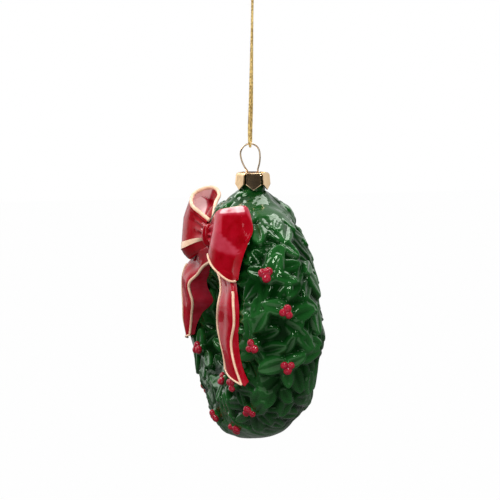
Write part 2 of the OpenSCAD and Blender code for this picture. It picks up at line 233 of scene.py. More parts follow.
def new_material(name):
    material = bpy.data.materials.new(name)
    material.use_nodes = True
    nodes = material.node_tree.nodes
    return material, nodes, material.node_tree.links, nodes["Principled BSDF"]


def noise(nodes, links, scale, detail=3.0):
    """Noise that stays with the object, scale in waves per metre."""
    place = nodes.new("ShaderNodeTexCoord")
    texture = nodes.new("ShaderNodeTexNoise")
    set_input(texture, "Scale", scale)
    set_input(texture, "Detail", detail)
    links.new(place.outputs["Object"], texture.inputs["Vector"])
    return texture.outputs["Fac"]


def ramp(nodes, links, value, stops):
    node = nodes.new("ShaderNodeValToRGB")
    stop_list = node.color_ramp.elements
    while len(stop_list) < len(stops):
        stop_list.new(0.5)
    for stop, (place, colour) in zip(stop_list, stops, strict=True):
        stop.position = place
        stop.color = (*colour, 1)
    links.new(value, node.inputs["Fac"])
    return node.outputs["Color"]


def grey(value):
    return (value, value, value)


def two_stops(first, last):
    return [(NOISE_LOW, first), (NOISE_HIGH, last)]


def rough_patches(nodes, links, bsdf, scale, rough):
    smoothest, roughest = rough
    gloss = ramp(nodes, links, noise(nodes, links, scale), two_stops(grey(smoothest), grey(roughest)))
    links.new(gloss, bsdf.inputs["Roughness"])


def waves_in(nodes, links, bsdf, scale, depth, strength):
    height = noise(nodes, links, scale, WAVE_DETAIL)
    node = nodes.new("ShaderNodeBump")
    set_input(node, "Distance", depth)
    set_input(node, "Strength", strength)
    links.new(height, node.inputs["Height"])
    links.new(node.outputs["Normal"], bsdf.inputs["Normal"])


def painted_glass(
    name, stops, scale, rough=(0.06, 0.16), rise=False, specular=0.36, pit_shade_specular=None, tint=(1, 1, 1),
    waves=(420, 0.0003, 0.25),
):
    """Glossy lacquer with uneven colour and slight waves, and if asked with painted shade in the pits, whose
    shine is turned down.
    """
    material, nodes, links, bsdf = new_material(name)
    share = noise(nodes, links, scale)
    set_input(bsdf, "Specular IOR Level", specular)
    set_input(bsdf, "Specular Tint", (*tint, 1))
    if rise:
        height = nodes.new("ShaderNodeAttribute")
        height.attribute_name = "rise"
        # Painted shade: less shine in the pits than on the leaves
        if pit_shade_specular is not None:
            shine_stops = [(PIT_RISE, grey(pit_shade_specular)), (SHINY_RISE, grey(specular))]
            shine = ramp(nodes, links, height.outputs["Fac"], shine_stops)
            links.new(shine, bsdf.inputs["Specular IOR Level"])
        mixed = nodes.new("ShaderNodeMath")
        mixed.operation = "MULTIPLY_ADD"
        links.new(share, mixed.inputs[0])
        set_input(mixed, 1, UNEVEN_SHARE)
        links.new(height.outputs["Fac"], mixed.inputs[2])
        share = mixed.outputs["Value"]
    links.new(ramp(nodes, links, share, stops), bsdf.inputs["Base Color"])
    rough_patches(nodes, links, bsdf, scale * GLASS_PATCHES, rough)
    waves_in(nodes, links, bsdf, *waves)
    return material


def worn_metal(name, stops, scale, rough, metallic=1.0):
    material, nodes, links, bsdf = new_material(name)
    uneven = noise(nodes, links, scale)
    links.new(ramp(nodes, links, uneven, stops), bsdf.inputs["Base Color"])
    rough_patches(nodes, links, bsdf, scale * METAL_PATCHES, rough)
    set_input(bsdf, "Metallic", metallic)
    waves_in(nodes, links, bsdf, scale * METAL_GRAIN, *GRAIN_WAVES)
    return material


# Stops of rising leaves, a painted gradient of shade: the pits near black, the leaves' sides darker and their
# tips lighter
GREEN = painted_glass(
    "green_lacquer",
    [(0.15, (0.0002, 0.006, 0.0006)), (0.6, (0.003, 0.034, 0.0045)), (1.0, (0.011, 0.080, 0.014))],
    scale=160, rough=(0.05, 0.12), rise=True, specular=0.42, pit_shade_specular=0.05, tint=(0.8, 1, 0.74),
    waves=(320, 0.0006, 0.45),
)
# Stops of the ribbon: two reds, a paler red for the painted sheen on the right loop's folds and on the tails,
# and a pale pink for the painted reflection inside the loops
RED = painted_glass(
    "red_lacquer",
    [
        (0.13, (0.235, 0.0004, 0.003)), (0.32, (0.320, 0.002, 0.010)),
        (0.7, (0.46, 0.045, 0.075)), (1.0, (0.95, 0.70, 0.70)),
    ],
    scale=300, rise=True, specular=0.2, tint=(1, 0.5, 0.55),
)
BERRY = painted_glass(
    "berry_lacquer", two_stops((0.24, 0.003, 0.015), (0.38, 0.010, 0.03)),
    scale=700, rough=(0.12, 0.24), waves=(900, 0.0005, 0.5),
)
CREAM = painted_glass(
    "cream_edge", two_stops((0.72, 0.44, 0.29), (0.86, 0.60, 0.42)), scale=500, rough=(0.2, 0.34),
)
CAP_METAL = worn_metal(
    "rose_gold", two_stops((0.80, 0.55, 0.31), (0.90, 0.66, 0.40)), scale=260, rough=(0.08, 0.17),
)
WIRE_METAL = worn_metal(
    "gold_wire", two_stops((0.74, 0.54, 0.34), (0.90, 0.70, 0.47)), scale=500, rough=(0.22, 0.38),
)
THREAD = worn_metal(
    "gold_thread", [(0.38, (0.38, 0.22, 0.05)), (0.56, (0.92, 0.69, 0.26))],
    scale=1500, rough=(0.25, 0.40), metallic=0.4,
)

# Camera

VIEW_TURN = radians(72)
VIEW_RISE = radians(9)
VIEW_FAR = 576.0
FIELD = 180.0
AIM_UP = 24.2
AIM_LEFT = 1.0
SENSOR = 36.0


def add_camera():
    back = np.array((
        sin(VIEW_TURN) * cos(VIEW_RISE),
        -cos(VIEW_TURN) * cos(VIEW_RISE),
        sin(VIEW_RISE),
    ))
    right = np.array((cos(VIEW_TURN), sin(VIEW_TURN), 0))
    up = np.cross(back, right)
    place = RING_MIDDLE + back * VIEW_FAR
    aim = RING_MIDDLE + up * AIM_UP - right * AIM_LEFT
    lens = bpy.data.cameras.new("camera")
    lens.sensor_width = SENSOR
    lens.lens = SENSOR * VIEW_FAR / FIELD
    lens.clip_start = 0.01
    camera = bpy.data.objects.new("camera", lens)
    camera.location = place * MM
    camera.rotation_euler = Vector(aim - place).to_track_quat("-Z", "Y").to_euler()
    bpy.context.scene.collection.objects.link(camera)
    bpy.context.scene.camera = camera


add_camera()

# Cord: one loop of twisted gold thread, from its knot round the wire and back

CORD_D = 0.8
# The cord's two legs hide each other at the top of the picture and part towards the wire
CORD_ROUTE = [
    (0.5, -0.2, 1), (0.5, -0.2, 0.4), (1, -0.4, -0.8), (1.5, -0.5, -2.8), (1.2, -0.45, -5), (0.5, -0.35, -8),
    (0.47, -0.36, -12), (0.45, -0.52, -20), (0.4, -0.73, -28), (0.35, -0.94, -36), (0.3, -1.15, -44),
    (0.35, -1.4, -50), (0.6, -1.6, -54), (1, -1.65, -58.3), (0.9, -1.25, -59.7), (0, -1, -60.1),
    (-0.9, -0.75, -59.7), (-1, -0.35, -58.3), (-0.6, -0.4, -54), (-0.35, -0.35, -50), (-0.3, -0.25, -44),
    (-0.35, -0.21, -36), (-0.4, -0.17, -28), (-0.45, -0.13, -20), (-0.47, -0.04, -12), (-0.5, 0.05, -8),
    (-1.2, 0.2, -5), (-1.5, 0.3, -2.8), (-1, 0.3, -0.8), (-0.5, 0.2, 0.4), (-0.5, 0.2, 1),
]
CORD_STEP = 0.14
CORD_STRANDS = 3
CORD_PITCH = 2.1
STRAND_R = CORD_D * 0.28
STRAND_SIDES = 8
# Distance of a strand's middle from the cord's
LAY_R = CORD_D * 0.3
KNOT_LOW = 1.0
KNOT_R = 0.95
# How much of the knot's radius is its swell between its ends
KNOT_SWELL = 0.45
KNOT_TURNS = 2.25
KNOT_WRAP_FOOT = 0.2
KNOT_WRAP_HEIGHT = 2.2
KNOT_ENTRY = [(0.5, -0.2, KNOT_LOW - 0.3)]
KNOT_EXIT = [(0.7, 0.1, KNOT_LOW + 3.0), (1.3, 0.1, KNOT_LOW + 4.8), (2.0, 0.2, 8.2)]
KNOT_EXIT_STEP = 0.2
KNOT_STEP = 0.12


def twisted(line):
    """A cord of thin strands that turn round its middle line."""
    _, side, other = frames_along(line)
    far = distances(line)
    strands = []
    for k in range(CORD_STRANDS):
        angle = 2 * pi * (far / CORD_PITCH + k / CORD_STRANDS)
        middle = line + LAY_R * (side * np.cos(angle)[:, None] + other * np.sin(angle)[:, None])
        strands.append(tube(middle, STRAND_R, STRAND_SIDES))
    return joined(*strands)


def knot_line(side):
    """One end of the cord: up into the knot, round it, and out at the top."""
    mirror = np.array((side, side, 1))
    turns = np.linspace(0, 1, 60)
    angle = 2 * pi * KNOT_TURNS * turns + (0 if side > 0 else pi)
    r = KNOT_R * (1 - KNOT_SWELL + KNOT_SWELL * np.sin(pi * turns))
    height = KNOT_LOW + KNOT_WRAP_FOOT + KNOT_WRAP_HEIGHT * turns
    wraps = np.stack((r * np.cos(angle), r * np.sin(angle), height), axis=1)
    exit_points = np.concatenate((wraps[-1:], np.array(KNOT_EXIT) * mirror))
    exit_line = smooth_line(exit_points, KNOT_EXIT_STEP)
    return evened(np.concatenate((np.array(KNOT_ENTRY) * mirror, wraps, exit_line[1:])), KNOT_STEP)


def add_cord():
    line = smooth_line(CORD_ROUTE, CORD_STEP)
    cord = add_piece("gold_cord", twisted(line), THREAD, "cord", ["hanging_cord"])
    knot_mesh = joined(*(twisted(knot_line(side)) for side in (1, -1)))
    knot = add_piece("gold_cord_knot", knot_mesh, THREAD, "cord", ["cord_knot"])


add_cord()

# Wire ring with its two spring legs: the line of the part's source, with slightly thinner wire

WIRE_R = 0.3
WIRE_SIDES = 14
WIRE_STEP = 0.25
LOOP_R = 3.6
LOOP_H = 6.207
LOOP_LEAN = radians(9.271)
LOOP_FOOT_Z = -68.876
LOOP_SIDE_R = 11.0
LOOP_FOOT_R = 1.5
LEG_GAP = 3.9
LEG_Y = 1.905
LEG_LEN = 11.0
FOOT_R = 1.2
FOOT_TURN = radians(50)
LOOP_TURN = acos(1 - (LOOP_R - LEG_GAP / 2) / (LOOP_SIDE_R + LOOP_FOOT_R))
FOOT_STEPS = 10


def loop_place(across, up):
    """A place of the leaning ring, from its place across and above the ring's middle."""
    lifted = up + LOOP_H
    y = across * cos(LOOP_LEAN) - lifted * sin(LOOP_LEAN)
    z = across * sin(LOOP_LEAN) + lifted * cos(LOOP_LEAN) + LOOP_FOOT_Z
    return (0, y, z)


def wire_half(side):
    """Places from the ring's side down to the end of a leg."""
    places = []
    for angle in np.linspace(0, -LOOP_TURN, 14)[1:]:
        across = LOOP_R - LOOP_SIDE_R + LOOP_SIDE_R * cos(angle)
        places.append(loop_place(side * across, LOOP_SIDE_R * sin(angle)))
    for angle in np.linspace(pi - LOOP_TURN, pi - side * LOOP_LEAN, FOOT_STEPS)[1:]:
        across = LEG_GAP / 2 + LOOP_FOOT_R + LOOP_FOOT_R * cos(angle)
        places.append(loop_place(side * across, LOOP_FOOT_R * sin(angle) - LOOP_H))
    for angle in np.linspace(pi, pi + FOOT_TURN, FOOT_STEPS):
        y = side * (LEG_Y + FOOT_R + FOOT_R * cos(angle))
        places.append((0, y, LOOP_FOOT_Z - LEG_LEN + FOOT_R * sin(angle)))
    return places


def add_wire():
    angles = np.linspace(0, pi, 30)
    top = [loop_place(LOOP_R * cos(angle), LOOP_R * sin(angle)) for angle in angles]
    line = evened(np.array(wire_half(1)[::-1] + top + wire_half(-1)), WIRE_STEP)
    mesh = tube(line, WIRE_R, WIRE_SIDES)
    add_piece("wire_ring", mesh, WIRE_METAL, "hanger", ["wire_hanger"])


add_wire()

# Crown cap: a six-sided top that bends over into six pointed tabs

CAP_SIDES = 6
CAP_TURN = radians(15)
CAP_FLAT = 5.0
CAP_SHEET = 0.4
CAP_BEND_R = 0.75
TAB_FLARE = radians(6)
TAB_STRAIGHT = 3.9
TAB_POINT = 1.9
TAB_SLIT = 0.4
# Width of a tab's tip, as a share of the tab's
TAB_TIP = 0.04
CAP_EDGE_R = 0.14
WIRE_HOLE_R = 0.5
TOP_INNER_SHARE = 0.9
# What delaunay_2d_cdt takes to fill the rim
FILL_INSIDE = 1
# Triangles within this share of a hole's radius are left out
IN_HOLE_SHARE = 0.99
# Points of the cap closer than this, in metres, become one
CAP_WELD = 0.00002


def tab_rows():
    """Rows of one tab from the flat top outwards: reach, height and half width."""
    half_slope = tan(pi / CAP_SIDES)
    turn = pi / 2 - TAB_FLARE
    start = CAP_FLAT - CAP_BEND_R * sin(turn)
    rows = []
    for angle in np.linspace(0, turn, 7):
        reach = start + CAP_BEND_R * sin(angle)
        rows.append((reach, CAP_BEND_R * (cos(angle) - 1), reach * half_slope - TAB_SLIT / 2))
    reach, height, half = rows[-1]
    drop = TAB_STRAIGHT - CAP_BEND_R
    falls = [(far, half) for far in np.linspace(0, drop, 7)[1:]]
    shares = np.linspace(0, 1, 8)[1:]
    falls += [(drop + TAB_POINT * share, half * max(1 - share, TAB_TIP)) for share in shares]
    for far, wide in falls:
        rows.append((reach + far * sin(TAB_FLARE), height - far * cos(TAB_FLARE), wide))
    return rows


def cap_top(rim):
    """The flat top inside its rim, with a hole for each leg of the wire."""
    angles = full_turn(24)
    circle = np.stack((np.cos(angles), np.sin(angles)), axis=1) * WIRE_HOLE_R
    loops = [rim[:, :2], circle + (0, LEG_Y), circle - (0, LEG_Y)]
    flat, edges = [], []
    for loop in loops:
        start = len(flat)
        edges += [(start + k, start + (k + 1) % len(loop)) for k in range(len(loop))]
        flat += [Vector(point) for point in loop]
    flat += [Vector(point) for point in rim[:, :2] * TOP_INNER_SHARE]
    places, _, faces = delaunay_2d_cdt(flat, edges, [], FILL_INSIDE, 1e-6)[:3]
    points = np.array([(place.x, place.y, CAP_TOP_Z) for place in places])
    faces = np.array([list(face) for face in faces])
    middles = points[faces].mean(axis=1)
    solid = np.hypot(middles[:, 0], np.abs(middles[:, 1]) - LEG_Y) > IN_HOLE_SHARE * WIRE_HOLE_R
    return points, faces[solid].tolist()


def cap_sheet_mesh():
    rows = tab_rows()
    across = np.linspace(-1, 1, 11)
    meshes, rim = [], []
    for k in range(CAP_SIDES):
        angle = CAP_TURN - pi / 2 + 2 * pi * k / CAP_SIDES
        out = np.array((cos(angle), sin(angle), 0))
        beside = np.array((-sin(angle), cos(angle), 0))
        points = np.array([
            [out * reach + beside * half * share + (0, 0, CAP_TOP_Z + height) for share in across]
            for reach, height, half in rows
        ])
        meshes.append(sheet(points[::-1]))
        rim += list(points[0])
    return joined(cap_top(np.array(rim)), *meshes)


def add_cap():
    cap = add_piece("gold_crown", cap_sheet_mesh(), CAP_METAL, "cap", ["crown_cap"])
    weld = cap.modifiers.new("weld", "WELD")
    weld.merge_threshold = CAP_WELD
    thick = cap.modifiers.new("sheet", "SOLIDIFY")
    thick.thickness = CAP_SHEET * MM
    thick.offset = -1
    edge = cap.modifiers.new("edge", "BEVEL")
    edge.width = CAP_EDGE_R * MM
    edge.segments = 2
    edge.limit_method = "ANGLE"


add_cap()

# Glass wreath with its leaf relief

# Angles of the berry clusters round the ring and round its tube
BERRIES = np.radians([
    (29, 28), (11, 8), (354, 54), (346, 5), (293, 113), (321, 82), (314, 42), (272, 65), (288, 43),
    (215, 104), (150, 34), (169, 8), (190, 55), (203, 14), (229, 40), (224, 15), (247, 12), (30, 240),
    (70, 245), (125, 300), (160, 270), (200, 305), (240, 265), (285, 240), (330, 235),
])
BERRY_GAP = 0.05
ROUND_STEPS = 900
ACROSS_STEPS = 330
LEAF_RISE = 2.0
VALLEY_R = 13.8
LEAF_SEED = 12
LEAF_TRIES = 9000
LEAF_APART = 4.3
LEAF_LENGTHS = (8.0, 13.0)
# Half a leaf's width, as a share of its length
LEAF_WIDTHS = (0.25, 0.34)
# Height of a leaf's foot: some leaves lie on top, and the others lower
HIGH_LEAVES = 0.3
HIGH_FOOT = 0.25
LOW_FEET = (-0.2, 0.1)
LEAF_BEND = 1.2
# Directions of the leaves, in radians
BERRY_NEAR = 10
BERRY_HEADING_SPREAD = 0.5
LEAF_HEADING = radians(200)
LEAF_HEADING_SPREAD = 1.1
# How far a leaf's cells reach, as a share of its length
LEAF_CELLS = 0.6
LEAST_REACH = 8
# A leaf's outline
LEAF_FULLNESS = 0.7
LEAF_FOOT_WIDTH = 1.15
LEAF_TAPER = 0.3
# A leaf's height: its slope, the lift of its tip and the swell beside its rib
LEAF_SLOPE = 0.25
LEAF_TIP_LIFT = 0.3
LEAF_SWELL = 0.27
LEAF_SIDE_END = 1.06
LEAF_SIDE_FADE = 0.2
LEAF_TIP_FADE = 0.1
LEAF_FLOOR = 0.05
# The leaves form a flat seat under each berry cluster
SEAT_LEVEL = 0.97
SEAT_R = 3.4
SEAT_FADE = 2.2
# Places with little relief: their angles in degrees, reach, smoothness and height
SMOOTH_FADE = 0.6
SMOOTH_PLACES = [(285, 8, 18, 0.8, 0.75), (71, -8, 11.5, 1.0, 0.6)]
# Places where the wreath is fuller or leaner: their angles in degrees, reach and rise
SWELL_PLACES = [(267, 38, 16, 1.7), (356, -72, 11, 1.5), (309, -72, 8, 1.2), (78, -42, 10, -1.2)]
SHOULDER_R = 15.2
SHOULDER_TOP = RING_R + TUBE_R + 3.9
SHOULDER_FOOT = RING_R + 0.4 * TUBE_R
SHOULDER_LINE = [(0, 0), (0.13, 0.09), (0.43, 0.3), (0.82, 0.53), (0.98, 0.77), (1, 1)]
SHOULDER_LIFTS = np.arange(0, 6, 0.1)
# The leaves are flatter near the neck
NECK_SMOOTH = 0.4
NECK_LEVEL = 0.35
NECK_NEAR = 12
NECK_FADE = 6
NECK_WALL = 1.0
NECK_DEPTH = 12
NECK_COLUMNS = 96
# Radius and depth of the neck's rings, from its outside to its inside
NECK_RINGS = [
    (NECK_R, NECK_DEPTH), (NECK_R, 6), (NECK_R, 3), (NECK_R, 0.4), (NECK_R - 0.15, 0.1), (NECK_R - 0.5, 0),
    (NECK_R - 0.85, 0.1), (NECK_R - NECK_WALL, 0.4), (NECK_R - NECK_WALL, NECK_DEPTH),
]
NECK_RISE = 0.4


def on_tube(round_angle, across_angle, r):
    """Points of the ring: angles round the ring from +X, and round the tube from its rim to the front."""
    reach = RING_R + r * np.cos(across_angle)
    across = -r * np.sin(across_angle)
    return np.stack((reach * np.cos(round_angle), across, reach * np.sin(round_angle)), axis=-1) + RING_MIDDLE


def softened(values, rounds):
    """The same values over the ring, each mixed with those beside it."""
    for axis in (0, 1) * rounds:
        before, after = np.roll(values, 1, axis), np.roll(values, -1, axis)
        values = 0.5 * values + 0.25 * (before + after)
    return values


def leaf_places(random):
    """Places of leaves at least a set distance apart, spread evenly over the ring."""
    kept, points = [], np.empty((0, 3))
    for _ in range(LEAF_TRIES):
        round_angle = random.uniform(0, 2 * pi)
        across_angle = random.uniform(0, 2 * pi)
        if random.random() > (RING_R + TIP_R * cos(across_angle)) / (RING_R + TIP_R):
            continue
        point = on_tube(round_angle, across_angle, TIP_R)
        if len(points) and np.linalg.norm(points - point, axis=1).min() < LEAF_APART:
            continue
        kept.append((round_angle, across_angle))
        points = np.concatenate((points, point[None]))
    return kept


def leaf_heading(round_angle, across_angle, random, berries):
    """Leaves near a berry cluster point away from it, and others lie along the ring."""
    here = on_tube(round_angle, across_angle, TIP_R)
    offsets = here - berries
    near = np.linalg.norm(offsets, axis=1).argmin()
    along = np.array((-sin(round_angle), 0, cos(round_angle)))
    over = on_tube(round_angle, across_angle + 0.01, TIP_R) - here
    over = over / np.linalg.norm(over)
    if np.linalg.norm(offsets[near]) < BERRY_NEAR:
        away = atan2(offsets[near] @ over, offsets[near] @ along)
        return away + random.uniform(-BERRY_HEADING_SPREAD, BERRY_HEADING_SPREAD)
    return LEAF_HEADING + random.uniform(-LEAF_HEADING_SPREAD, LEAF_HEADING_SPREAD)


def leaf_relief():
    """Heights of overlapping leaves over the ring, from 0 in the valleys to 1 at the tips."""
    random = Random(LEAF_SEED)
    berries = on_tube(*BERRIES.T, TIP_R)
    round_step = 2 * pi / ROUND_STEPS
    across_step = 2 * pi / ACROSS_STEPS
    heights = np.zeros((ROUND_STEPS, ACROSS_STEPS))
    for round_angle, across_angle in leaf_places(random):
        heading = leaf_heading(round_angle, across_angle, random, berries)
        length = random.uniform(*LEAF_LENGTHS)
        half_width = length * random.uniform(*LEAF_WIDTHS)
        low = HIGH_FOOT if random.random() < HIGH_LEAVES else random.uniform(*LOW_FEET)
        bend = random.uniform(-LEAF_BEND, LEAF_BEND)
        reach = RING_R + TIP_R * cos(across_angle)
        half_rows = int(LEAF_CELLS * length / (max(reach, LEAST_REACH) * round_step)) + 2
        half_columns = int(LEAF_CELLS * length / (TIP_R * across_step)) + 2
        rows = int(round_angle / round_step) + np.arange(-half_rows, half_rows + 1)
        columns = int(across_angle / across_step) + np.arange(-half_columns, half_columns + 1)
        across_here = columns * across_step
        x = (rows[:, None] * round_step - round_angle) * (RING_R + TIP_R * np.cos(across_here))[None, :]
        y = (across_here - across_angle)[None, :] * TIP_R
        along = (x * cos(heading) + y * sin(heading)) / length + 0.5
        across = y * cos(heading) - x * sin(heading) - bend * (along - 0.5) ** 2
        share = np.clip(along, 0.001, 0.999)
        fullness = (4 * share * (1 - share)) ** LEAF_FULLNESS
        half = half_width * fullness * (LEAF_FOOT_WIDTH - LEAF_TAPER * share)
        place = np.abs(across) / np.maximum(half, 0.05)
        halves = 1 - (2 * np.minimum(place, 1) - 1) ** 2
        leaf = low + LEAF_SLOPE * share + LEAF_TIP_LIFT * share ** 3 + LEAF_SWELL * halves
        leaf = leaf * ease((LEAF_SIDE_END - place) / LEAF_SIDE_FADE)
        leaf = leaf * ease((1 - np.abs(2 * along - 1)) / LEAF_TIP_FADE)
        cells = np.ix_(rows % ROUND_STEPS, columns % ACROSS_STEPS)
        heights[cells] = np.maximum(heights[cells], leaf)
    heights = softened(heights, 3)
    return np.clip((heights - LEAF_FLOOR) / (1 - LEAF_FLOOR), 0, 1)


def shoulder_lift(base, out):
    """How far the points of the ring rise to the shoulder round the neck, along their way out."""
    line = np.array(SHOULDER_LINE)
    level = NECK_R + (SHOULDER_R - NECK_R) * line[:, 0]
    height = SHOULDER_TOP + (SHOULDER_FOOT - SHOULDER_TOP) * line[:, 1]
    lift = np.zeros(base.shape[:2])
    for step in SHOULDER_LIFTS:
        points = base + out * step
        far = np.hypot(points[..., 0], points[..., 1])
        under = points[..., 2] - RING_Z < np.interp(far, level, height)
        lift = np.where(under & (far < SHOULDER_R) & (base[..., 2] > RING_Z + RING_R), step, lift)
    return softened(lift, 12)


def swell_lift(points):
    lift = np.zeros(points.shape[:-1])
    for u, v, far, rise in SWELL_PLACES:
        middle = on_tube(*np.radians((u, v)), TUBE_R)
        lift = lift + rise * ease(1 - np.linalg.norm(points - middle, axis=-1) / far)
    return lift


def wreath_points():
    lines = full_turn(ROUND_STEPS), full_turn(ACROSS_STEPS)
    round_angle, across_angle = np.meshgrid(*lines, indexing="ij")
    base = on_tube(round_angle, across_angle, TUBE_R)
    heights = leaf_relief()
    for u, v, far, share, level in SMOOTH_PLACES:
        middle = on_tube(*np.radians((u, v)), TUBE_R)
        smooth = share * ease((far - np.linalg.norm(base - middle, axis=-1)) / (SMOOTH_FADE * far))
        heights = heights + (level - heights) * smooth
    for berry in on_tube(*BERRIES.T, TUBE_R):
        far = np.linalg.norm(base - berry, axis=-1)
        heights = np.maximum(heights, SEAT_LEVEL * ease((SEAT_R - far) / SEAT_FADE))
    lift = shoulder_lift(base, base - on_tube(round_angle, across_angle, TUBE_R - 1))
    lift = lift + swell_lift(base)
    neck_far = np.hypot(base[..., 0], base[..., 1])
    near_neck = NECK_SMOOTH * ease((NECK_NEAR - neck_far) / NECK_FADE)
    near_neck = np.where(base[..., 2] > RING_Z + RING_R, near_neck, 0)
    heights = heights + (NECK_LEVEL - heights) * near_neck
    points = on_tube(round_angle, across_angle, VALLEY_R + lift + LEAF_RISE * heights)
    return points, heights


def neck_mesh():
    angles = full_turn(NECK_COLUMNS)
    points = [(r * cos(a), r * sin(a), NECK_TOP_Z - drop) for r, drop in NECK_RINGS for a in angles]
    return np.array(points), turned(grid_faces(len(NECK_RINGS), NECK_COLUMNS, close_columns=True))


def add_wreath():
    points, heights = wreath_points()
    in_neck = np.hypot(points[..., 0], points[..., 1]) < NECK_R - NECK_WALL / 2
    open_top = in_neck & (points[..., 2] > RING_Z + RING_R)
    faces = np.array(grid_faces(ROUND_STEPS, ACROSS_STEPS, True, True))
    used, corners = np.unique(faces[~open_top.ravel()[faces].all(axis=1)], return_inverse=True)
    ring = (points.reshape(-1, 3)[used], corners.reshape(-1, 4).tolist())
    neck_points, neck_faces = neck_mesh()
    mesh = joined(ring, (neck_points, neck_faces))
    wreath = add_piece("glass_wreath", mesh, GREEN, "wreath", ["wreath_body"])
    add_rise(wreath, np.concatenate((heights.ravel()[used], np.full(len(neck_points), NECK_RISE))))


add_wreath()

# Berry clusters: three lobes that melt together

BERRY_R = 1.4
BERRY_SPREAD = 1.3
BERRY_UNEVEN = 0.13
BERRY_UP = 0.2
BERRY_FLAT = 0.8
BERRY_SPIN = 37
BERRY_SEED = 5
BERRY_TURN = 0.2
# How far down a cluster's points go, in radians from its top
BERRY_BACK = pi * 0.62
BERRY_CORE_R = 0.9
# The higher this is, the sharper the creases between the lobes
BERRY_CREASE = 10
BERRY_ROWS = 18
BERRY_COLUMNS = 36


def cluster_shape(random):
    """Points of a cluster of three uneven berries, from its top down to under its flat back."""
    turn = full_turn(BERRY_COLUMNS)[None, :]
    fall = np.linspace(0.03, BERRY_BACK, BERRY_ROWS)[:, None]
    look = np.stack((
        np.sin(fall) * np.cos(turn), np.sin(fall) * np.sin(turn), np.cos(fall) + 0 * turn
    ), axis=-1)
    reach = np.full(look.shape[:2], BERRY_CORE_R) ** BERRY_CREASE
    for k in range(3):
        angle = 2 * pi * k / 3 + random.uniform(-BERRY_TURN, BERRY_TURN)
        spread = BERRY_SPREAD * random.uniform(1 - BERRY_UNEVEN, 1 + BERRY_UNEVEN)
        berry_r = BERRY_R * random.uniform(1 - BERRY_UNEVEN, 1 + BERRY_UNEVEN)
        middle = np.array((spread * cos(angle), spread * sin(angle), BERRY_UP))
        toward = look @ middle
        inside = berry_r ** 2 - middle @ middle + toward ** 2
        far = toward + np.sqrt(np.maximum(inside, 0))
        reach = reach + np.where(inside > 0, np.maximum(far, 0), 0) ** BERRY_CREASE
    points = look * (reach ** (1 / BERRY_CREASE))[..., None] * (1, 1, BERRY_FLAT)
    top = points[0].mean(axis=0)
    faces = grid_faces(BERRY_ROWS, BERRY_COLUMNS, close_columns=True)
    faces += [[BERRY_ROWS * BERRY_COLUMNS, k, (k + 1) % BERRY_COLUMNS] for k in range(BERRY_COLUMNS)]
    return np.concatenate((points.reshape(-1, 3), [top])), faces


def add_berries():
    random = Random(BERRY_SEED)
    for i, (u, v) in enumerate(BERRIES):
        shape, faces = cluster_shape(random)
        spin = radians(BERRY_SPIN * i)
        out = np.array((cos(u) * cos(v), -sin(v), sin(u) * cos(v)))
        along = np.array((sin(u), 0, -cos(u)))
        over = np.cross(out, along)
        first = along * cos(spin) + over * sin(spin)
        second = np.cross(out, first)
        middle = on_tube(u, v, TIP_R + BERRY_GAP + swell_lift(on_tube(u, v, TUBE_R)))
        points = middle + shape @ np.stack((first, second, out))
        name = f"{i + 1:02d}"
        add_piece(
            f"red_berries_{name}", (points, faces), BERRY, "wreath", [f"berry_cluster_{name}"]
        )


add_berries()

# Bow: knot, two loops and two tails of painted ribbon with cream edges

LEFT = -1
RIGHT = 1
BOW_BACK = 0.04
BOW_SAG = 0.05
LEFT_TAIL_SHARE = 0.93
LEFT_TAIL_TAPER = 4.8
TAPER_FROM = 3
TAPER_TO = 5
TAPER_BACK = 0.32
RIDGE_BACK = 1.2
LOOP_CREASE = 0.7
RIBBON_WALL = {LEFT: 1.2, RIGHT: 2.0}
RIBBON_SHARE = 0.36
HOLLOW_REACH = 0.7
HOLLOW_LEVEL = 0.55
HOLLOW_END_LEVEL = 0.86
HOLLOW_END_REACH = 3.0
RIM_LEVEL = {LEFT: 0.94, RIGHT: 0.9}
TAIL_SWELL = 1.2
TAIL_BACK = 10.0
BOW_SEAT = 15.8
TAIL_SEAT = 15.9
FOOT_SEAT = 13.8
LEFT_LOOP_TOP = [
    (2, -0.6, 6.8), (7, -2.2, 8.8), (12.5, -3.8, 11.3), (17, -1.6, 14.6), (18.5, 3.2, 16.8), (16, 7.2, 17.2),
    (11.5, 7.5, 15.2), (7, 4.6, 13), (2, 2, 9),
]
RIGHT_LOOP_TOP = [
    (2, -0.6, 7.4), (7, -1.5, 11), (12.5, -2, 13.2), (18.2, -0.1, 14.4), (20.2, 4, 15.4), (17.5, 7, 15.2),
    (11.5, 7.5, 13.5), (7, 4.6, 11.8), (2, 2, 8.6),
]
LEFT_LOOP_MIDDLE = [
    (2, -1.8, 3.6), (9, -2.9, 5), (15, -4.3, 6), (21, -3.5, 5.8), (26, 1.5, 5), (25.5, 6.8, 6.2),
    (17, 4.8, 8), (10, 1.4, 6), (2, -0.2, 4),
]
RIGHT_LOOP_MIDDLE = [
    *LEFT_LOOP_MIDDLE[:3], (20, -3.1, 5.6), (24.3, 2, 4.7), (23.8, 7.3, 5.9), *LEFT_LOOP_MIDDLE[6:],
]
LEFT_LOOP_LOW = [
    (2, -2, 0.3), (8, -3.4, -1.6), (13, -5.6, -4), (18, -5.4, -5.6), (24, -1.6, -7.8), (28.5, 1, -9),
    (20.5, -0.8, -9.8), (11, -1, -6), (2, -0.6, -3),
]
RIGHT_LOOP_LOW = [
    (2, -2, 0.5), (8, -3.4, 0), (13, -5.6, -2.8), (18, -5.2, -6.4), (24, -1.8, -9.8), *LEFT_LOOP_LOW[5:],
]
LOOP_EDGES = {
    LEFT: (LEFT_LOOP_LOW, LEFT_LOOP_MIDDLE, LEFT_LOOP_TOP),
    RIGHT: (RIGHT_LOOP_LOW, RIGHT_LOOP_MIDDLE, RIGHT_LOOP_TOP),
}
